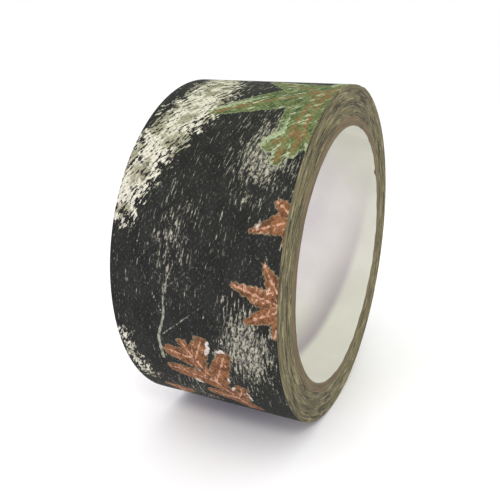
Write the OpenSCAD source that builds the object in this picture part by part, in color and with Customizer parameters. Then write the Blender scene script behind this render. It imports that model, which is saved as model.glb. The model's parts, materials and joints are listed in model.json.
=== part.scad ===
// A roll of printed cloth duct tape, standing on its rim.
// One strip of three bonded layers is wound over a paper tube core, and its free end peels off.
// The roll's axis is Y, Z is up, and the origin is the middle of the bore. Sizes are in millimetres.

/* [Tape] */
// Width of the strip, and length of the core
tape_w = 48; // [12:1:100]
// Thickness of the printed polyethylene film, the outer face
film_t = 0.09; // [0.04:0.01:0.2]
// Thickness of the woven cotton cloth under the film
cloth_t = 0.08; // [0.04:0.01:0.2]
// Thickness of the rubber adhesive on the inner face
adhesive_t = 0.10; // [0.04:0.01:0.2]
// Turns of tape on the core
turns = 32; // [4:1:40]

/* [Core] */
// Bore of the core, the common three inch size
core_id = 76.2; // [40:0.1:80]
// Thickness of the white paper that lines the bore
liner_t = 0.2; // [0.1:0.05:0.5]
// Thickness of one ply of brown board
ply_t = 0.7; // [0.4:0.05:1]

/* [Free end] */
// Where the cut end lies, in degrees from the top towards +X
tip_deg = 16; // [0:1:120]
// Degrees of the roll that one bending length of the free end covers
link_deg = 12; // [6:1:20]
// Clearance under the free end
lift_gap = 0.03; // [0.01:0.01:0.1]

/* [Hidden] */
$fn = 180;

plies = 4;
links = 4;                                    // bending lengths of the free end
slit = 0.04;                                  // between two bending lengths
glue_gap = 0.03;                              // between the core and the first turn
pitch = film_t + cloth_t + adhesive_t;        // one turn adds this much radius
core_r = core_id / 2;
ply_r = core_r + liner_t;
wind_r = ply_r + plies * ply_t + glue_gap;    // the strip starts here

// Places along the strip are its winding angle, in degrees from its inner end.
tip_at = 360 * turns;
root_at = tip_at - links * link_deg;          // the free end starts here
outer_at = root_at - 360;                     // and the outer turn one turn before it

// The depth of each layer in the strip, from the strip's inner face.
adhesive_in = 0;
cloth_in = adhesive_t;
film_in = adhesive_t + cloth_t;

// A plain tube on the roll's axis, with a true bore.
module tube(r, t) {
    rotate([90, 0, 0]) difference() {
        cylinder(h = tape_w, r = r + t, center = true);
        cylinder(h = tape_w + 2, r = r, center = true);
    }
}

// The spiral is made of half turns. Their centres alternate by half a pitch,
// so that each one starts where the last one ended and runs on smoothly.
function half_centre(k) = (k % 2 == 0 ? -1 : 1) * pitch / 4;
function half_radius(k) = wind_r + pitch / 4 + k * pitch / 2;

// One layer of the strip between two winding angles, turned so that the tip comes to tip_deg.
module strip(from, to, inset, t, lift = 0) {
    rotate([90, 0, 0]) rotate(90 - tip_deg) union() {
        for (k = [floor(from / 180) : ceil(to / 180) - 1]) {
            start = max(from - 180 * k, 0);
            stop = min(to - 180 * k, 180);
            whole_end = stop == 180;          // a part half turn is swept from the end that it shares
            translate([half_centre(k), 0, 0])
                rotate(180 * (k % 2) + (whole_end ? stop : start))
                    rotate_extrude(angle = (whole_end ? -1 : 1) * (stop - start))
                        translate([half_radius(k) + inset + lift, -tape_w / 2])
                            square([t, tape_w]);
        }
    }
}

module wound(inset, t) strip(0, outer_at, inset, t);

module outer_turn(inset, t) strip(outer_at, root_at, inset, t);

// Bending length i of the free end, counted from its root.
module end_link(i, inset, t) {
    slit_deg = slit / half_radius(2 * turns - 1) * 180 / PI;
    strip(root_at + (i - 1) * link_deg + slit_deg, root_at + i * link_deg, inset, t, lift_gap);
}

module film_colour() color("#33352F") children();
module cloth_colour() color("#A8A189") children();
module adhesive_colour() color("#7B7459") children();

module core_liner() color("#EDEBE6") tube(core_r, liner_t);
module core_ply(i) color("#8A7558") tube(ply_r + (i - 1) * ply_t, ply_t);
module wound_film() film_colour() wound(film_in, film_t);
module wound_cloth() cloth_colour() wound(cloth_in, cloth_t);
module wound_adhesive() adhesive_colour() wound(adhesive_in, adhesive_t);
module outer_turn_film() film_colour() outer_turn(film_in, film_t);
module outer_turn_cloth() cloth_colour() outer_turn(cloth_in, cloth_t);
module outer_turn_adhesive() adhesive_colour() outer_turn(adhesive_in, adhesive_t);
module end_film(i) film_colour() end_link(i, film_in, film_t);
module end_cloth(i) cloth_colour() end_link(i, cloth_in, cloth_t);
module end_adhesive(i) adhesive_colour() end_link(i, adhesive_in, adhesive_t);

core_liner();
wound_film();
wound_cloth();
wound_adhesive();
outer_turn_film();
outer_turn_cloth();
outer_turn_adhesive();
for (i = [1 : plies])
    core_ply(i);
for (i = [1 : links]) {
    end_film(i);
    end_cloth(i);
    end_adhesive(i);
}
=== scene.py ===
# %% [markdown]
# # A roll of printed cloth duct tape
#
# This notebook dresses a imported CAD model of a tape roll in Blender. The roll is a paper tube core,
# about nine metres of cloth tape wound on it, and a free end that peels up. The frame below holds the
# CAD solids and the bodies that move, and nothing in it is moved or resized: each new piece takes the
# place of a CAD solid, in the same metres and on the same axes. The roll's axis is Y, and Z is up.

# %% Load the frame
import json
import math

import bpy
import numpy as np
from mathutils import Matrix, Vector


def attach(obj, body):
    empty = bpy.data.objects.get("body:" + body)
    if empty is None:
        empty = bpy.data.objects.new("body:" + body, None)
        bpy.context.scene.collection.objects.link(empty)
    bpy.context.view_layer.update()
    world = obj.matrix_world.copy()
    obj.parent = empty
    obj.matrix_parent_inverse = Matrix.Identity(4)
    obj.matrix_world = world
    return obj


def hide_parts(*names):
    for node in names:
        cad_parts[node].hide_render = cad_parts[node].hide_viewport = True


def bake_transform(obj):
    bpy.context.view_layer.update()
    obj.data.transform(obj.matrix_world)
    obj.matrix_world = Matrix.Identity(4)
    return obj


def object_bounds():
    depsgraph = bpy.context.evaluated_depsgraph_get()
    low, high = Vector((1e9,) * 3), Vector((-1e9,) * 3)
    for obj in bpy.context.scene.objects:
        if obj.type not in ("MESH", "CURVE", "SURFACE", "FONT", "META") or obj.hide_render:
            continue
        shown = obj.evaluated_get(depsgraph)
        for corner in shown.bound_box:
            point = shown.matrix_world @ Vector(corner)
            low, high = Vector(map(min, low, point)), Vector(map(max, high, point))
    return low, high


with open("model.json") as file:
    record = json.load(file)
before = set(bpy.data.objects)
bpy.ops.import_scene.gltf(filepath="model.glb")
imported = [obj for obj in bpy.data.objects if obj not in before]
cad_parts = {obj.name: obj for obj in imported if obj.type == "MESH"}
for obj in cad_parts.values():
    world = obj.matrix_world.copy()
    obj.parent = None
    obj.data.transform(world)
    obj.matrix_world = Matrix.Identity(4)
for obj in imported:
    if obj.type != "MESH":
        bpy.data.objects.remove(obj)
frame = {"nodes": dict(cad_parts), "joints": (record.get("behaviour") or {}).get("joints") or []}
cad_low, cad_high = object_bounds()
nodes = frame["nodes"]
print("CAD box in mm:", [round(x * 1000, 2) for x in (*cad_low, *cad_high)])

# %% [markdown]
# ## The strip as the frame has it
#
# A strip of tape is three layers bonded together: adhesive inside, cotton cloth, and printed film
# outside. Its place on the roll is one number, the turn angle: degrees past the top of the roll
# towards -X, counted on through every turn. The radius grows by one thickness of tape in each turn.
# The cut end, the hinges and the radii are read from the frame, so a change there moves the looks too.

# %% Sizes, in millimetres
MM = 0.001
ADHESIVE, CLOTH, FILM = 0.10, 0.08, 0.09
TURNS = 32
LIFT = 0.03                                    # clearance under the free end
PITCH = ADHESIVE + CLOTH + FILM


def radii(node):
    """Smallest and largest distance from the roll's axis, sqrt(x^2 + z^2), over a CAD node."""
    co = np.empty(len(nodes[node].data.vertices) * 3, np.float32)
    nodes[node].data.vertices.foreach_get("co", co)
    r = np.hypot(co[0::3], co[2::3]) / MM
    return float(r.min()), float(r.max())


HALF_W = cad_high.y / MM
CORE_R = radii("core_liner")[0]
LINER_R = radii("core_liner")[1]
PLIES = [radii(n) for n in sorted(nodes) if n.startswith("core_ply")]
WIND_R = radii("wound_adhesive")[0]
hinge_points = [Vector(j["pos_m"]) for j in frame["joints"]]
hinge_at = [360 - math.degrees(math.atan2(p.x, p.z)) for p in hinge_points]
LINK = hinge_at[1] - hinge_at[0]
ROOT = hinge_at[0]
TIP = ROOT + LINK * len(hinge_at)
START = TIP - 360 * TURNS
print(f"bore {CORE_R:.2f}, winding from {WIND_R:.2f}, root at {ROOT:.1f}, tip at {TIP:.1f} degrees")
print(f"outer radius by formula {WIND_R + PITCH * (TURNS + 1) + LIFT:.2f},",
      f"in the frame {radii('end_film_4')[1]:.2f}")

# %% [markdown]
# ## Camera
#
# The camera stands about 20 cm from the roll and looks a little down on its printed side. A lens of
# about 46 mm at that distance gives the strong taper of a small thing seen from close by.

# %% Camera
camera_data = bpy.data.cameras.new("camera")
camera = bpy.data.objects.new("camera", camera_data)
bpy.context.scene.collection.objects.link(camera)
camera_data.lens = 46.5
camera_data.clip_start = 0.01
camera.location = Vector((-177.2, -77.3, 63.1)) * MM
looks_at = Vector((-3.1, 5.4, -1.5)) * MM
camera.rotation_mode = "QUATERNION"
camera.rotation_quaternion = (looks_at - camera.location).to_track_quat("-Z", "Y")
bpy.context.scene.camera = camera
bpy.context.scene.view_settings.view_transform = "Standard"
print("camera", (camera.location - looks_at).length / MM, "mm from what it looks at")

# %% [markdown]
# ## Surfaces from arrays
#
# Every piece here is a profile carried round the roll. The profile is a closed loop of points, each
# with a depth above the layer's inner face and a place across the width. The path is the spiral. A
# grid of points comes out as one numpy array, and its faces are index arithmetic, so no loop visits
# single vertices. Where the profile is carried all the way round, the last station joins the first.

# %% Mesh from a grid
SHARP = 60                                     # degrees: a cut end is sharp, a crushed edge isn't


def grid_faces(stations, loop, ring):
    """Quads between neighbouring stations and neighbouring loop points; ring joins the ends."""
    i = np.arange(stations if ring else stations - 1)[:, None]
    j = np.arange(loop)[None, :]
    a, b = i * loop + j, i * loop + (j + 1) % loop
    far = (i + 1) % stations * loop
    return np.stack([a, b, far + (j + 1) % loop, far + j], axis=-1).reshape(-1, 4)


def make_piece(name, points, ring, slots):
    """A closed piece from points[station, loop, xyz] in mm. slots[loop] is each loop gap's material.
    The sum of corner . (corner x corner) has the sign of the volume, and turns the faces outwards."""
    stations, loop = points.shape[:2]
    faces = grid_faces(stations, loop, ring)
    corners = points.reshape(-1, 3)
    one, two, three, four = (corners[faces[:, k]] for k in range(4))
    volume = (one * np.cross(two, three)).sum() + (one * np.cross(three, four)).sum()
    if volume < 0:
        faces = faces[:, ::-1]
    caps = [] if ring else [np.arange(loop), (stations - 1) * loop + np.arange(loop)[::-1]]
    caps = caps if volume < 0 else [c[::-1] for c in caps]
    mesh = bpy.data.meshes.new(name)
    mesh.from_pydata((corners * MM).tolist(), [], faces.tolist() + [c.tolist() for c in caps])
    which = np.concatenate([np.tile(slots, len(faces) // loop), np.full(len(caps), slots[-1])])
    mesh.polygons.foreach_set("material_index", which.astype(np.int32))
    mesh.polygons.foreach_set("use_smooth", np.ones(len(mesh.polygons), bool))
    mesh.set_sharp_from_angle(angle=math.radians(SHARP))
    piece = bpy.data.objects.new(name, mesh)
    bpy.context.scene.collection.objects.link(piece)
    return piece


def give(piece, name, values):
    """Stores one number, or one vector of three, at each vertex for the material to read."""
    kind = "FLOAT" if values.ndim == 1 else "FLOAT_VECTOR"
    layer = piece.data.attributes.new(name, kind, "POINT")
    layer.data.foreach_set("value" if kind == "FLOAT" else "vector", values.astype(np.float32).ravel())


# %% [markdown]
# ## One layer of the strip
#
# The real strip is slit to width by rotary knives and wound under tension, so its layers are flat
# ribbons with slightly crushed edges, and each turn lands a few hundredths of a millimetre beside the
# one below. That wander is what makes the side of a tape roll look ringed. It is a slow sum of sines
# along the winding, and it always stays inside the CAD width.

# %% The spiral and the ribbon
WANDER = 0.11                                  # most that a turn lies beside the middle
EDGE = 0.035                                   # how far the knife rounds an edge
SIDE_CLEAR = 0.02                              # least gap between an edge and the CAD side face


def spiral(turn_angle):
    """Radius of the strip's inner face: it grows by PITCH in every 360 degrees from START."""
    return WIND_R + PITCH * (turn_angle - START) / 360


def wander(turn_angle):
    """Sideways shift in mm: sin(turns/4.7) + sin(turns/2.1) + sin(turns/0.9), bent by the angle."""
    turn, t = turn_angle / 360, np.radians(turn_angle)
    slow = np.sin(2 * np.pi * turn / 4.7 + 1.3 * np.sin(t))
    middle = np.sin(2 * np.pi * turn / 2.1 + 1.1 * np.sin(2 * t + 1))
    quick = np.sin(2 * np.pi * turn / 0.9 + 0.8 * np.cos(3 * t))
    return WANDER * (0.5 * slow + 0.3 * middle + 0.2 * quick)


def ribbon(name, start, stop, inset, thick, lift=0.0, step=3.0, columns=2, slots=(0, 0)):
    """One layer from turn angle start to stop. A point at depth d and width y lies at radius
    spiral(a) + inset + lift + d, turned a degrees from the top towards -X, and at y + wander(a)."""
    count = max(int(round((stop - start) / step)), 1) + 1
    a = np.linspace(start, stop, count)
    half = HALF_W - WANDER - SIDE_CLEAR
    across = np.linspace(-(half - EDGE), half - EDGE, columns)
    depth = np.concatenate([np.full(columns, thick), [thick * 0.5], [0, 0], [thick * 0.5]])
    y = np.concatenate([across, [half], [half - EDGE, EDGE - half], [-half]])
    r = (spiral(a) + inset + lift)[:, None] + depth[None, :]
    t = np.radians(a)[:, None]
    side = y[None, :] + wander(a)[:, None]
    points = np.stack([-r * np.sin(t), side + 0 * r, r * np.cos(t)], axis=-1)
    which = np.where(np.arange(len(y)) < columns - 1, slots[0], slots[1])
    piece = make_piece(name, points, False, which)
    along = np.broadcast_to((np.radians(a) * OUTER_R)[:, None], r.shape)
    give(piece, "tape", np.stack([along, np.broadcast_to(y, r.shape), 0 * r], axis=-1).reshape(-1, 3))
    return piece


OUTER_R = spiral(TIP) + PITCH                  # print is laid out in mm along this radius
print(f"one turn is {2 * math.pi * OUTER_R:.1f} mm of tape at the outside")

# %% [markdown]
# ## Nodes for materials
#
# Materials are built from Blender's own texture and maths nodes. One function adds any node, sets it
# and links it, and returns the output that the next node needs. Colours are written as sRGB hex, the
# way a paint chart gives them, and one function turns them into the linear light that shaders use.

# %% Node helpers
def linear(hex_colour):
    """sRGB hex to linear: c / 12.92 below 0.04045, else ((c + 0.055) / 1.055) ^ 2.4."""
    c = np.array([int(hex_colour[k:k + 2], 16) for k in (1, 3, 5)]) / 255
    c = np.where(c <= 0.04045, c / 12.92, ((c + 0.055) / 1.055) ** 2.4)
    return (*c.tolist(), 1.0)


def add(tree, kind, links=None, out=0, **settings):
    """Adds a node. links sets or joins its inputs by number or name; settings are its own fields."""
    node = tree.nodes.new("ShaderNode" + kind)
    for field, value in settings.items():
        setattr(node, field, value)
    for key, value in (links or {}).items():
        socket = node.inputs[key]
        if isinstance(value, bpy.types.NodeSocket):
            tree.links.new(value, socket)
        else:
            socket.default_value = linear(value) if isinstance(value, str) else value
    return node.outputs[out]


def new_material(name):
    """An empty node material and its output's surface socket."""
    material = bpy.data.materials.new(name)
    material.use_nodes = True
    material.node_tree.nodes.clear()
    output = material.node_tree.nodes.new("ShaderNodeOutputMaterial")
    return material, material.node_tree, output.inputs["Surface"]


def laid_over(tree, base, top, value, low, high, most=1.0):
    """Colour top over base: share = most x smoothstep of value from low to high (low may be larger).
    Map Range's inputs 1 to 4 are its two ranges, and Mix's inputs 6 and 7 are its two colours."""
    share = add(tree, "MapRange", {"Value": value, 1: low, 2: high, 3: 0.0, 4: most},
                interpolation_type="SMOOTHSTEP")
    return add(tree, "Mix", {0: share, 6: base, 7: top}, out=2, data_type="RGBA")


def grained(tree, value, noise, amount):
    """value + amount x (noise - 0.5): moves a motif's outline in and out with the noise."""
    middle = add(tree, "Math", {0: value, 1: amount / 2}, operation="SUBTRACT")
    return add(tree, "Math", {0: noise, 1: amount, 2: middle}, operation="MULTIPLY_ADD")


def speckle(tree, place, size, turn=0.0, detail=3.0, rough=0.6, shift=0.0):
    """Noise from 0 to 1 whose spots are size = (along, across) mm, turned by turn degrees."""
    turned = add(tree, "Mapping", {"Vector": place, "Rotation": (0, 0, math.radians(turn)),
                                   "Location": (shift, shift * 0.37, 0)})
    sized = add(tree, "VectorMath", {0: turned, 1: (1 / size[0], 1 / size[1], 1.0)},
                operation="MULTIPLY")
    return add(tree, "TexNoise", {"Vector": sized, "Scale": 1.0, "Detail": detail, "Roughness": rough})


def threads(tree, place, pitch):
    """Plain weave in mm: sin(pi u / pitch) x sin(pi v / pitch), up where a thread lies on top."""
    turns = math.pi / pitch
    angles = add(tree, "VectorMath", {0: place, 1: (turns, turns, 0)}, operation="MULTIPLY")
    waves = add(tree, "VectorMath", {0: angles}, operation="SINE")
    both = add(tree, "SeparateXYZ", {0: waves}).node
    return add(tree, "Math", {0: both.outputs[0], 1: both.outputs[1]}, operation="MULTIPLY")


# %% [markdown]
# ## The print's shapes
#
# The film carries a woodland print: charcoal bark with pale streaks, patches of pale bark, lobed
# leaves and thin twigs. Each motif is a handful of tapered rods that run into each other, and numpy
# works out at each point of the film how many millimetres the point lies inside them. The material
# cuts that distance at zero with some noise, which gives the ragged edge of a printed motif without
# a vertex on the outline. Like any rotary print, it repeats along the tape.

# %% Distance to tapered rods
REPEAT = 157.0                                 # mm of tape from one repeat of the print to the next


def near(u, middle):
    """u moved by whole repeats until it is as close as it can be to middle."""
    return (u - middle + REPEAT / 2) % REPEAT - REPEAT / 2 + middle


def rods(u, v, shapes):
    """For (start, end, thick at start, thick at end): the largest inside, and the nearest distance.
    inside = thick_start + (thick_end - thick_start) t - distance, t the share of the way along. The
    distance is negative on the side where (point - start) x (end - start) is positive."""
    inside, line = np.full(u.shape, -99.0), np.full(u.shape, 99.0)
    for (u0, v0), (u1, v1), thick_start, thick_end in shapes:
        du, dv = u1 - u0, v1 - v0
        here = near(u, (u0 + u1) / 2)
        t = np.clip(((here - u0) * du + (v - v0) * dv) / (du * du + dv * dv), 0, 1)
        distance = np.hypot(here - u0 - t * du, v - v0 - t * dv)
        inside = np.maximum(inside, thick_start + (thick_end - thick_start) * t - distance)
        side = np.where(du * (v - v0) > dv * (here - u0), 1.0, -1.0)
        line = np.where(distance < np.abs(line), side * distance, line)
    return inside, line


# %% [markdown]
# The motifs are plain ones that follow three rules. A maple-like leaf is a fan of lobes from one point,
# an oak-like leaf is a rib with pairs of lobes, and a twig is a stem that bends this way and that, with
# a shoot at each bend. Places are in millimetres along the tape from the top of the roll and across it
# from the middle, and headings are degrees from the tape's own direction.

# %% Rules for leaves and twigs
def ray(start, heading, length):
    """The point length mm away from start, heading degrees from the direction of the tape."""
    t = math.radians(heading)
    return start[0] + length * math.cos(t), start[1] + length * math.sin(t)


def fan_leaf(base, heading, length, lobes, spread, fat):
    """Lobes fanned evenly over spread degrees about heading. A lobe's length falls from length at
    the heading to 0.6 of it at the sides, and it tapers from fat to a fifth of that."""
    off = np.linspace(-1, 1, lobes)
    tips = [ray(base, heading + k * spread / 2, length * (1 - 0.4 * abs(k))) for k in off]
    return [(base, tip, fat, fat / 5) for tip in tips]


def rib_leaf(base, heading, length, pairs, fat):
    """A tapered rib with pairs of lobes at 50 degrees to it. A lobe that leaves the rib at share s
    of the way along is 0.4 x length x sin(pi s) long."""
    parts = [(base, ray(base, heading, length), 0.6 * fat, 0.3 * fat)]
    for share in np.linspace(0.2, 0.8, pairs):
        foot = ray(base, heading, length * share)
        reach = 0.4 * length * math.sin(math.pi * share)
        parts += [(foot, ray(foot, heading + side, reach), 0.8 * fat, 0.45 * fat) for side in (50, -50)]
    return parts


def twig(start, heading, length, joints, thick):
    """A stem of equal lengths, 9 degrees off the heading to one side and then the other. The shoot at
    each bend leaves at 38 degrees, and shoots and stem get shorter and thinner together."""
    parts, here = [], start
    for k in range(joints):
        left, side = 1 - k / joints, 1 if k % 2 else -1
        there = ray(here, heading + 9 * side, length / joints)
        parts.append((here, there, thick * left + 0.1, thick * left))
        parts.append((there, ray(there, heading - 38 * side, 0.5 * length * left), 0.6 * thick * left, 0.15))
        here = there
    return parts


# %% Where the motifs lie
GREEN_LEAVES = fan_leaf((12, -20), 34, 33, 4, 170, 8.0) + rib_leaf((2, -23), 4, 36, 2, 5.6)
RUST_LEAVES = (rib_leaf((119, -11), 152, 31, 3, 4.6) + rib_leaf((134, 14), 186, 18, 2, 3.8)
               + fan_leaf((76, -26), 105, 14, 5, 170, 4.0) + fan_leaf((55, -26), 70, 11, 3, 110, 3.8))
PALE_BARK = [((-12, 15), (22, 11), 5.0, 9.0), ((22, 11), (56, 23), 9.0, 6.0), ((92, 22), (110, 20), 2.0, 3.0)]
TWIGS = twig((99, 11), 192, 38, 5, 0.5) + twig((124, -20), 25, 20, 2, 0.5)
# Streaky areas lie 26 mm apart, by turns strong near one edge and weak past the middle.
STREAKS = [((12 + 26 * k, -15), (12, 8), 0.95) if k % 2 else ((12 + 26 * k, 6), (15, 8), 0.38)
           for k in range(6)]                  # middle, size, strength
print(len(GREEN_LEAVES) + len(RUST_LEAVES) + len(PALE_BARK) + len(TWIGS), "rods in one repeat")


def print_fields(piece):
    """Writes the print's distances at each vertex: leaves, ribs, pale bark, twigs and streaks."""
    place = np.empty(len(piece.data.vertices) * 3, np.float32)
    piece.data.attributes["tape"].data.foreach_get("vector", place)
    u, v = place[0::3].astype(float), place[1::3].astype(float)
    for name, shapes in (("green", GREEN_LEAVES), ("rust", RUST_LEAVES), ("pale", PALE_BARK),
                         ("twig", TWIGS)):
        inside, line = rods(u, v, shapes)
        give(piece, name + "_inside", inside)
        if name in ("green", "rust"):
            give(piece, name + "_line", line)
    blobs = [much * np.exp(-((near(u, a) - a) / w) ** 2 - ((v - b) / h) ** 2)
             for (a, b), (w, h), much in STREAKS]
    give(piece, "streaks", np.sum(blobs, axis=0))


# %% [markdown]
# ## Printed polyethylene film
#
# The face of camouflage duct tape is thin polyethylene, coloured by gravure printing and embossed by
# the cloth beneath it. An image could carry the print, but it would blur from close by. Noise cut by
# the stored distances stays sharp. The print goes down ink by ink, and so does this material: bark
# first, then each motif over it. Each function below lays one more ink over the colour so far.

# %% Bark ink
def bark_ink(tree, tape, faint):
    """Charcoal with faint specks, pale streaks along the tape where streaks + noise is high, and
    dark chips over them."""
    cloud = speckle(tree, tape, (9, 5), detail=3)
    colour = laid_over(tree, "#1A1C17", "#262923", cloud, 0.35, 0.65)
    colour = laid_over(tree, colour, "#5C5E55", faint, 0.56, 0.68, 0.75)
    fine = speckle(tree, tape, (4.2, 0.62), turn=-5, detail=5, rough=0.7, shift=31)
    patch = speckle(tree, tape, (12, 4), detail=2, shift=7)
    streaks = add(tree, "Attribute", out="Fac", attribute_name="streaks")
    level = add(tree, "Math", {0: streaks, 1: 0.24, 2: fine}, operation="MULTIPLY_ADD")
    level = add(tree, "Math", {0: patch, 1: 0.22, 2: level}, operation="MULTIPLY_ADD")
    tint = laid_over(tree, "#64655A", "#A6A58C", speckle(tree, tape, (1.6, 1.0), shift=77), 0.35, 0.65)
    colour = laid_over(tree, colour, tint, level, 0.73, 0.77)
    blot = speckle(tree, tape, (2.0, 1.1), detail=5, rough=0.75, shift=53)
    level = add(tree, "Math", {0: streaks, 1: 0.23, 2: blot}, operation="MULTIPLY_ADD")
    colour = laid_over(tree, colour, tint, level, 0.685, 0.705)
    chip = speckle(tree, tape, (1.5, 0.7), turn=-14, detail=4, rough=0.7, shift=91)
    return laid_over(tree, colour, "#20211D", chip, 0.515, 0.54, 0.9)


# %% [markdown]
# Pale bark is a mix of sage and cream, broken by dark flecks at a slant. The flecks thin out towards
# the middle of a patch, because its inside distance is taken off their noise.

# %% Pale bark ink
def pale_ink(tree, tape, below):
    """Sage and cream by mottle, dark where fleck - 0.014 x inside is high, with a ragged outline."""
    slant = speckle(tree, tape, (3.6, 2.2), turn=-30, detail=5, rough=0.68, shift=3)
    mottle = speckle(tree, tape, (6.5, 4.2), turn=-30, detail=4, shift=11)
    fleck = speckle(tree, tape, (2.2, 0.9), turn=-30, detail=4, rough=0.7, shift=19)
    inside = add(tree, "Attribute", out="Fac", attribute_name="pale_inside")
    cream = laid_over(tree, "#8C8C70", "#C6C6AE", mottle, 0.42, 0.54)
    depth = add(tree, "Math", {0: inside, 1: -0.014, 2: fleck}, operation="MULTIPLY_ADD")
    cream = laid_over(tree, cream, "#1F201C", depth, 0.465, 0.48)
    return laid_over(tree, below, cream, grained(tree, inside, slant, 20), 0.0, 0.3)


# %% [markdown]
# Twigs are grey-green lines. Rust leaves are mottled, with a thin broken vein along each rod, a few
# stray veins where a slow noise passes its middle value, and a rim that is pale in places.

# %% Twig and rust leaf inks
def twig_ink(tree, below, ragged):
    """Grey-green inside the twigs' rods, with an outline that the noise moves by 0.4 mm."""
    twig_colour = laid_over(tree, "#606450", "#92967F", ragged, 0.4, 0.6)
    inside = add(tree, "Attribute", out="Fac", attribute_name="twig_inside")
    return laid_over(tree, below, twig_colour, grained(tree, inside, ragged, 0.8), 0.04, 0.18)


def rust_ink(tree, tape, below, ragged, patchy):
    """Two browns by patchy, pale veins near the rods' middles, a tan outline, and frost on the rim."""
    inside = add(tree, "Attribute", out="Fac", attribute_name="rust_inside")
    inside = grained(tree, inside, ragged, 3.0)
    wide = speckle(tree, tape, (9, 7), detail=1, shift=67)
    rust = laid_over(tree, "#503824", "#835A38", patchy, 0.36, 0.58)
    vein = add(tree, "Attribute", out="Fac", attribute_name="rust_line")
    vein = add(tree, "Math", {0: vein}, operation="ABSOLUTE")
    vein = grained(tree, vein, ragged, 2.4)
    rust = laid_over(tree, rust, "#BE9678", vein, 0.32, 0.02, 0.8)
    wiggle = speckle(tree, tape, (5, 3), detail=2, shift=57)
    wiggle = add(tree, "Math", {0: wiggle, 1: 0.5, 2: 0.012}, operation="COMPARE")
    wiggle = add(tree, "Math", {0: wiggle, 1: patchy}, operation="MULTIPLY")
    rust = laid_over(tree, rust, "#CDB097", wiggle, 0.50, 0.58, 0.8)
    colour = laid_over(tree, below, "#8A7C5C", inside, -0.15, 0.0, 0.7)
    colour = laid_over(tree, colour, rust, inside, 0.05, 0.25)
    rim = add(tree, "Math", {0: inside, 1: 0.0, 2: 0.5}, operation="COMPARE")
    frost = add(tree, "Math", {0: rim, 1: wide}, operation="MULTIPLY")
    return laid_over(tree, colour, "#BDB8A8", frost, 0.60, 0.63)


# %% [markdown]
# Green leaves are brown along the middle of each lobe and have pale flecks at a slant. Where a lobe is
# narrow, one side of it catches a pale stripe: green_line is signed, so it tells the two sides apart.

# %% Green leaf ink
def green_ink(tree, tape, below, ragged, patchy, faint):
    """Two greens by patchy, brown within about 1 mm of a rib, pale flecks and a one-sided stripe."""
    inside = add(tree, "Attribute", out="Fac", attribute_name="green_inside")
    inside = grained(tree, inside, ragged, 2.4)
    line = add(tree, "Attribute", out="Fac", attribute_name="green_line")
    body = laid_over(tree, "#344829", "#647043", patchy, 0.38, 0.60)
    body = laid_over(tree, body, "#8E9866", faint, 0.56, 0.62, 0.5)
    middle = add(tree, "Math", {0: line}, operation="ABSOLUTE")
    body = laid_over(tree, body, "#7A5F38", grained(tree, middle, patchy, 5.0), 1.0, 0.0, 0.8)
    shine = speckle(tree, tape, (4.5, 1.1), turn=-50, detail=5, rough=0.72, shift=41)
    body = laid_over(tree, body, "#C4CCA8", shine, 0.55, 0.66, 0.85)
    beside = grained(tree, grained(tree, line, shine, 6.0), faint, 2.5)
    beside = add(tree, "Math", {0: beside, 1: 1.9, 2: 0.8}, operation="COMPARE")
    narrow = add(tree, "Math", {0: inside, 1: 1.1, 2: 1.2}, operation="COMPARE")
    beside = add(tree, "Math", {0: beside, 1: narrow}, operation="MULTIPLY")
    body = laid_over(tree, body, "#AEBB94", beside, 0.4, 0.6, 0.6)
    colour = laid_over(tree, below, "#8F9A70", inside, -0.15, 0.0, 0.8)
    return laid_over(tree, colour, body, inside, 0.0, 0.3)


# %% [markdown]
# The finished film has no shine to speak of, and the threads show through it as a fine even grain.
# Shade is painted into its colour, darker in the gaps between threads and lighter on their tops, with
# random grain mixed in. Real threads lie about 0.5 mm apart; they are drawn at 0.8 mm so that they
# still show at this distance.

# %% Printed film
WEAVE = 0.8                                    # mm from thread to thread, as drawn


def printed_film():
    """All the inks in order, embossed by the threads, with shade painted into the gaps between them."""
    material, tree, surface = new_material("gravure printed polyethylene over cloth, matt")
    tape = add(tree, "Attribute", out="Vector", attribute_name="tape")
    ragged = speckle(tree, tape, (1.6, 1.1), detail=4, rough=0.65)
    faint = speckle(tree, tape, (1.0, 0.5), turn=-4, detail=3, rough=0.7)
    patchy = speckle(tree, tape, (2.6, 2.0), detail=5, rough=0.7, shift=23)
    colour = bark_ink(tree, tape, faint)
    colour = pale_ink(tree, tape, colour)
    colour = twig_ink(tree, colour, ragged)
    colour = rust_ink(tree, tape, colour, ragged, patchy)
    colour = green_ink(tree, tape, colour, ragged, patchy, faint)

    weave = threads(tree, tape, WEAVE)
    grain = speckle(tree, tape, (0.5, 0.5), detail=2)
    gaps = add(tree, "Math", {0: weave, 1: grain}, operation="ADD")
    # Painted shade: colour darkened in the gaps between threads, lightened on their tops, and varied by
    # grain.
    painted_shade = add(tree, "MapRange", {"Value": gaps, 1: -0.6, 2: 1.2, 3: 0.80, 4: 1.10})
    colour = add(tree, "VectorMath", {0: colour, "Scale": painted_shade}, operation="SCALE")
    height = add(tree, "Math", {0: grain, 1: 1.5, 2: weave}, operation="MULTIPLY_ADD")
    bump = add(tree, "Bump", {"Height": height, "Distance": 0.00006, "Strength": 0.5})
    shader = add(tree, "BsdfPrincipled", {"Base Color": colour, "Normal": bump, "Roughness": 0.75,
                                          "IOR": 1.5, "Specular IOR Level": 0.12})
    tree.links.new(shader, surface)
    return material


PRINTED = printed_film()
print(PRINTED.name, len(PRINTED.node_tree.nodes), "nodes")

# %% [markdown]
# ## Slit edges
#
# The side of the roll shows about a hundred cut edges: olive film, cream cotton and tan adhesive,
# one after another. From a little way off they run together into a soft olive tan with darker and
# paler rings where the winding tension changed. The rings are noise in polar coordinates round the
# roll's axis.

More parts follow.
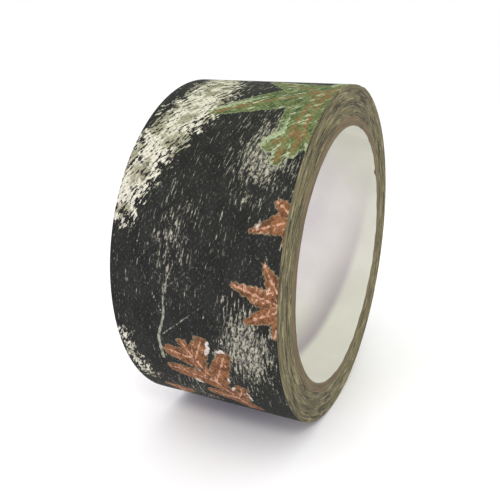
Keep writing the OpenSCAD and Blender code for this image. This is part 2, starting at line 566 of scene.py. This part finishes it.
# %% Ring pattern and the three edge materials
def rings(tree, size, spots, shift=0.0, detail=4.0):
    """Noise that follows the turns: its coordinates are spots x the direction from the axis, and the
    radius in mm divided by size, so a spot is long round the roll and narrow outwards."""
    place = add(tree, "TexCoord", out="Object")
    flat = add(tree, "VectorMath", {0: place, 1: (1, 0, 1)}, operation="MULTIPLY")
    radius = add(tree, "VectorMath", {0: flat}, out="Value", operation="LENGTH")
    heading = add(tree, "VectorMath", {0: flat}, operation="NORMALIZE")
    heading = add(tree, "VectorMath", {0: heading, "Scale": spots}, operation="SCALE")
    depth = add(tree, "Math", {0: radius, 1: 1 / (MM * size), 2: shift}, operation="MULTIPLY_ADD")
    depth = add(tree, "CombineXYZ", {1: depth})
    polar = add(tree, "VectorMath", {0: heading, 1: depth}, operation="ADD")
    return add(tree, "TexNoise", {"Vector": polar, "Scale": 1.0, "Detail": detail, "Roughness": 0.6})


def slit_edge(name, dark, pale, rough):
    """Cut edge of one layer: two tones by ring, darker in some rings, with a fibrous bump."""
    material, tree, surface = new_material(name)
    colour = laid_over(tree, dark, pale, rings(tree, 1.4, 4.0), 0.38, 0.62)
    colour = laid_over(tree, colour, "#2E2A1C", rings(tree, 0.7, 5.5, shift=20, detail=4), 0.52, 0.59, 0.85)
    colour = laid_over(tree, colour, "#B0A784", rings(tree, 0.6, 6.5, shift=60, detail=4), 0.55, 0.63, 0.65)
    place = add(tree, "TexCoord", out="Object")
    fibre = add(tree, "TexNoise", {"Vector": place, "Scale": 2500.0, "Detail": 3.0})
    colour = laid_over(tree, colour, "#A89F80", fibre, 0.62, 0.72, 0.5)
    bump = add(tree, "Bump", {"Height": fibre, "Distance": 0.00005, "Strength": 0.6})
    shader = add(tree, "BsdfPrincipled", {"Base Color": colour, "Normal": bump,
                                          "Roughness": rough, "IOR": 1.5})
    tree.links.new(shader, surface)
    return material


FILM_EDGE = slit_edge("polyethylene film, slit edge", "#4C4733", "#6B6449", 0.6)
CLOTH_EDGE = slit_edge("cotton scrim, slit edge", "#787050", "#938A64", 0.9)
ADHESIVE_EDGE = slit_edge("natural rubber adhesive, slit edge", "#60593B", "#7C7350", 0.5)
print("edge materials:", FILM_EDGE.name, "|", CLOTH_EDGE.name, "|", ADHESIVE_EDGE.name)

# %% [markdown]
# ## Adhesive face
#
# The underside of the free end is a coat of natural rubber adhesive, a warm tan with a soft shine.
# The cloth presses its threads through it, so the same weave shows there as a bump.

# %% Adhesive face
def adhesive_face():
    """Tan clouds, with the threads as a bump."""
    material, tree, surface = new_material("natural rubber adhesive, coated face")
    tape = add(tree, "Attribute", out="Vector", attribute_name="tape")
    colour = laid_over(tree, "#8B8263", "#A69C7A", speckle(tree, tape, (6, 4), detail=3), 0.35, 0.65)
    weave = threads(tree, tape, WEAVE)
    bump = add(tree, "Bump", {"Height": weave, "Distance": 0.00005, "Strength": 0.6})
    shader = add(tree, "BsdfPrincipled", {"Base Color": colour, "Normal": bump,
                                          "Roughness": 0.32, "IOR": 1.52})
    tree.links.new(shader, surface)
    return material


ADHESIVE_FACE = adhesive_face()
print(ADHESIVE_FACE.name, len(ADHESIVE_FACE.node_tree.nodes), "nodes")

# %% [markdown]
# ## The wound turns
#
# Under the outer turn, only the tape's edges show. Each layer is one long ribbon of about thirty
# turns, drawn with a station every six degrees. That leaves flats about 0.06 mm deep, which is less
# than the wander from turn to turn.

# %% Wound film, cloth and adhesive
OUTER_START = ROOT - 360
FINE = 0.42                                    # grid step of the printed face
FINE_DEG = math.degrees(FINE / OUTER_R)
COLUMNS = int(round(2 * HALF_W / FINE))


def finish_piece(piece, material_list, node, body=None):
    """Materials, and the CAD node that the piece stands for, which it hides; body to ride on."""
    for material in material_list:
        piece.data.materials.append(material)
    if body:
        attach(piece, body)
    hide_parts(node)
    print(f"{piece.name}: {len(piece.data.polygons)} faces")
    return piece


LAYERS = {
    "film": dict(inset=ADHESIVE + CLOTH, thick=FILM),
    "cloth": dict(inset=ADHESIVE, thick=CLOTH),
    "adhesive": dict(inset=0.0, thick=ADHESIVE),
}
EDGES = {"film": FILM_EDGE, "cloth": CLOTH_EDGE, "adhesive": ADHESIVE_EDGE}

for layer, shape in LAYERS.items():
    piece = ribbon(f"wound_{layer}_turns", START, OUTER_START, step=6.0, **shape)
    finish_piece(piece, [EDGES[layer]], f"wound_{layer}", "roll")

# %% [markdown]
# ## The outer turn
#
# This is the turn that everyone sees. Its film is a fine grid, as is that of the free end, with a
# point every 0.4 mm, because the print's distances are stored at its points.

# %% Outer turn
for layer, shape in LAYERS.items():
    if layer == "film":
        piece = ribbon("outer_film_printed", OUTER_START, ROOT, step=FINE_DEG, columns=COLUMNS,
                       slots=(0, 1), **shape)
        print_fields(piece)
        finish_piece(piece, [PRINTED, FILM_EDGE], "outer_turn_film", "roll")
    else:
        piece = ribbon(f"outer_{layer}", OUTER_START, ROOT, step=2.0, **shape)
        finish_piece(piece, [EDGES[layer]], f"outer_turn_{layer}", "roll")

# %% [markdown]
# ## The free end
#
# The free end peels up from the roll and curls back. The frame gives it four hinges; real tape bends
# everywhere. Each visible length runs from the middle of one link to the middle of the next, over
# the hinge between them, and here it follows the spiral, lifted just clear of the turn below.

# %% Free end
cuts = [ROOT] + [a + LINK / 2 for a in hinge_at[:-1]] + [TIP]


for i, hinge in enumerate(hinge_at):
    for layer, shape in LAYERS.items():
        printed = layer == "film"
        piece = ribbon(f"free_{layer}_{i + 1}", cuts[i], cuts[i + 1], lift=LIFT, step=FINE_DEG,
                       columns=COLUMNS if printed else 2, slots=(0, 1), **shape)
        if printed:
            print_fields(piece)
        faces = {"film": [PRINTED, FILM_EDGE], "cloth": [CLOTH_EDGE, CLOTH_EDGE],
                 "adhesive": [ADHESIVE_EDGE, ADHESIVE_FACE]}[layer]
        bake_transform(piece)
        finish_piece(piece, faces, f"end_{layer}_{i + 1}")

# %% [markdown]
# ## Core board
#
# The core is a tube of brown kraft board, four plies wound and glued. Only its cut end shows, as a
# ring of soft brown fibres with faint lines between the plies. The saw leaves it slightly furry.

# %% Core board
def core_board():
    """Two browns by ring, thin dark rings between the plies, and pale fibres."""
    material, tree, surface = new_material("kraft core board, sawn end")
    place = add(tree, "TexCoord", out="Object")
    fibre = add(tree, "TexNoise", {"Vector": place, "Scale": 1800.0, "Detail": 4.0})
    colour = laid_over(tree, "#5D5039", "#75674C", rings(tree, 1.1, 4.0, shift=5), 0.35, 0.65)
    colour = laid_over(tree, colour, "#4A3E2B", rings(tree, 0.3, 6.0, shift=50, detail=2), 0.56, 0.7, 0.6)
    colour = laid_over(tree, colour, "#8C7D60", fibre, 0.58, 0.7, 0.5)
    bump = add(tree, "Bump", {"Height": fibre, "Distance": 0.00008, "Strength": 0.7})
    shader = add(tree, "BsdfPrincipled", {"Base Color": colour, "Normal": bump,
                                          "Roughness": 0.88, "IOR": 1.5})
    tree.links.new(shader, surface)
    return material


BOARD = core_board()
print(BOARD.name, len(BOARD.node_tree.nodes), "nodes")

# %% Board plies
CHAMFER = 0.04                                 # mm broken off each edge of a sawn end
SAW_BITE = 0.12                                # most that the saw takes off an end
END_CLEAR = 0.01                               # least gap between an end and the CAD side face


def tube_piece(name, inner, outer, ragged, step=1.0):
    """A tube whose two ends are pushed in by up to ragged mm, by a sum of sines round the axis."""
    t = np.radians(np.arange(0, 360, step))[:, None]
    bite = 0.5 * np.sin(7 * t + inner) + 0.3 * np.sin(19 * t + 2 * inner) + 0.2 * np.sin(43 * t)
    bite = ragged * (0.5 + 0.5 * bite)
    low, high = inner + CHAMFER, outer - CHAMFER
    r = np.array([inner, inner, low, high, outer, outer, high, low])
    broken = CHAMFER * np.array([1, 1, 0, 0, 1, 1, 0, 0])
    side = np.array([1, -1, -1, -1, -1, 1, 1, 1])
    y = side * (HALF_W - END_CLEAR - bite - broken)
    points = np.stack([-r * np.sin(t), y, r * np.cos(t)], axis=-1)
    return make_piece(name, points, True, np.zeros(len(r), int))


for i, (inner, outer) in enumerate(PLIES):
    piece = tube_piece(f"board_ply_{i + 1}", inner, outer, SAW_BITE)
    finish_piece(piece, [BOARD], f"core_ply_{i + 1}", "roll")

# %% [markdown]
# ## Liner paper
#
# The bore is lined with one sheet of white paper, wound in a helix like the plies. Its overlap shows
# as a faint slanting step, with a soft grey shade painted into the paper behind it, and its rim is
# slightly torn where the tube was cut. The surface is a grid in angle and length. The overlap and the
# torn rim are in the geometry, and the painted shade is a number stored at each vertex.

# %% Liner
LINER_STEP = 0.07                              # height of the helical overlap
HELIX = 42                                     # mm along the bore in one turn of the overlap
OVERLAP_AT = 0.82                              # turn at which the overlap meets the front rim
# SHADE_TURN, SHADE_EDGE and SHADE_LOW shape a painted shade: grey laid into the paper's colour.
SHADE_TURN = 0.34                              # share of a turn in which the shade fades away
SHADE_EDGE = 0.07                              # and in which it comes in, at the overlap itself
SHADE_LOW = 190                                # turn angle at which it is deepest
NICKS = [(78, 1.6, 0.55), (84, 1.0, 0.35), (128, 1.4, 0.4), (300, 1.5, 0.5)]   # degrees, wide, deep mm


def liner_piece():
    """radius = bore + LINER_STEP - the overlap's height, which fades out within 0.12 turn past it. The
    overlap is at turn = OVERLAP_AT - (y + half width) / HELIX. Sines and NICKS bite the rim. The painted
    shade falls evenly past the overlap, times (half of 1 + cos(angle - SHADE_LOW)) ^ 1.5."""
    t = np.radians(np.arange(0, 360, 1.0))[:, None]
    rows = np.linspace(-1, 1, 61)[None, :]
    bite = 0.17 + 0.06 * np.sin(5 * t + 1) + 0.05 * np.sin(17 * t) + 0.04 * np.sin(41 * t + 2)
    for nick_at, wide, deep in NICKS:
        gap = (np.degrees(t) - nick_at) / wide
        bite = bite + deep * np.exp(-gap * gap)
    y = rows * (HALF_W - bite)
    turn = (t / (2 * np.pi) - OVERLAP_AT + (y + HALF_W) / HELIX) % 1.0
    raised = LINER_STEP * np.clip(1 - turn / 0.12, 0, 1) * np.clip(turn / 0.004, 0, 1)
    inner = CORE_R + LINER_STEP - raised
    outer_y = np.concatenate([y[:, -1:], y[:, :1]], axis=1)
    r = np.concatenate([inner, np.full_like(outer_y, LINER_R)], axis=1)
    y = np.concatenate([y, outer_y], axis=1)
    points = np.stack([-r * np.sin(t), y, r * np.cos(t)], axis=-1)
    piece = make_piece("liner_paper_tube", points, True, np.zeros(r.shape[1], int))
    # The painted shade is deepest on the side of the bore at SHADE_LOW, where the lamps reach least.
    low_side = (0.5 + 0.5 * np.cos(t - math.radians(SHADE_LOW))) ** 1.5
    painted_shade = np.clip(1 - turn / SHADE_TURN, 0, 1) * np.clip(turn / SHADE_EDGE, 0, 1) * low_side
    give(piece, "painted_shade", np.concatenate([painted_shade, 0 * outer_y], axis=1).ravel())
    return piece


def liner_paper():
    """White by cloud and fibre, greyed by a shade painted in behind the overlap."""
    material, tree, surface = new_material("white lining paper, calendered")
    place = add(tree, "TexCoord", out="Object")
    cloud = add(tree, "TexNoise", {"Vector": place, "Scale": 60.0, "Detail": 3.0})
    fibre = add(tree, "TexNoise", {"Vector": place, "Scale": 1500.0, "Detail": 4.0})
    painted_shade = add(tree, "Attribute", out="Fac", attribute_name="painted_shade")
    colour = laid_over(tree, "#CCCCC0", "#D3D3C7", cloud, 0.35, 0.65)
    colour = laid_over(tree, colour, "#BDB9AE", fibre, 0.6, 0.75, 0.3)
    # Painted shade: lilac grey laid into the paper wherever the stored shade is high.
    colour = laid_over(tree, colour, "#9C9399", painted_shade, 0.0, 1.0)
    bump = add(tree, "Bump", {"Height": fibre, "Distance": 0.00002, "Strength": 0.5})
    shader = add(tree, "BsdfPrincipled", {"Base Color": colour, "Normal": bump,
                                          "Roughness": 0.6, "IOR": 1.5})
    tree.links.new(shader, surface)
    return material


liner = liner_piece()
finish_piece(liner, [liner_paper()], "core_liner", "roll")

# %% [markdown]
# ## Floor and light
#
# The roll stands on a white sweep in plain white surroundings, as a catalogue shows it. Under an even
# white world, a white floor is as bright as the world, so its far edge can't be seen. A big soft
# light overhead and a smaller warm one in front shape the round side. A lilac one looks into the
# bore.

# %% Floor
def floor_piece():
    """A level square just under the roll, 4 m each way."""
    z, reach = cad_low.z - 0.0001, 4.0
    mesh = bpy.data.meshes.new("floor")
    mesh.from_pydata([(-reach, -reach, z), (reach, -reach, z), (reach, reach, z), (-reach, reach, z)],
                     [], [(0, 1, 2, 3)])
    material, tree, surface = new_material("white paper sweep, matt")
    shader = add(tree, "BsdfPrincipled", {"Base Color": "#FFFFFF", "Roughness": 1.0,
                                          "Specular IOR Level": 0.0})
    tree.links.new(shader, surface)
    mesh.materials.append(material)
    floor = bpy.data.objects.new("floor", mesh)
    bpy.context.scene.collection.objects.link(floor)
    return floor


floor_piece()

# %% World and lights
world = bpy.data.worlds.new("studio")
world.use_nodes = True
world.node_tree.nodes["Background"].inputs["Color"].default_value = (1, 1, 1, 1)
world.node_tree.nodes["Background"].inputs["Strength"].default_value = 1.0
bpy.context.scene.world = world


def softbox(name, place, aim, size, watts, colour="#FFFFFF"):
    """A square area light at place, turned to face aim; both in metres."""
    light = bpy.data.lights.new(name, "AREA")
    light.size = size
    light.energy = watts
    light.color = linear(colour)[:3]
    lamp = bpy.data.objects.new(name, light)
    lamp.location = place
    lamp.rotation_mode = "QUATERNION"
    lamp.rotation_quaternion = (Vector(aim) - Vector(place)).to_track_quat("-Z", "Y")
    bpy.context.scene.collection.objects.link(lamp)


softbox("overhead", (-0.35, 0.1, 0.6), (0, 0, 0), 0.5, 0.8)
softbox("front", (-0.42, -0.24, 0.42), (0, 0, 0), 0.12, 0.85, "#FFFDF2")
softbox("bore", (-0.45, 0.25, 0.01), (0.03, 0, 0), 0.1, 0.75, "#C79CFF")
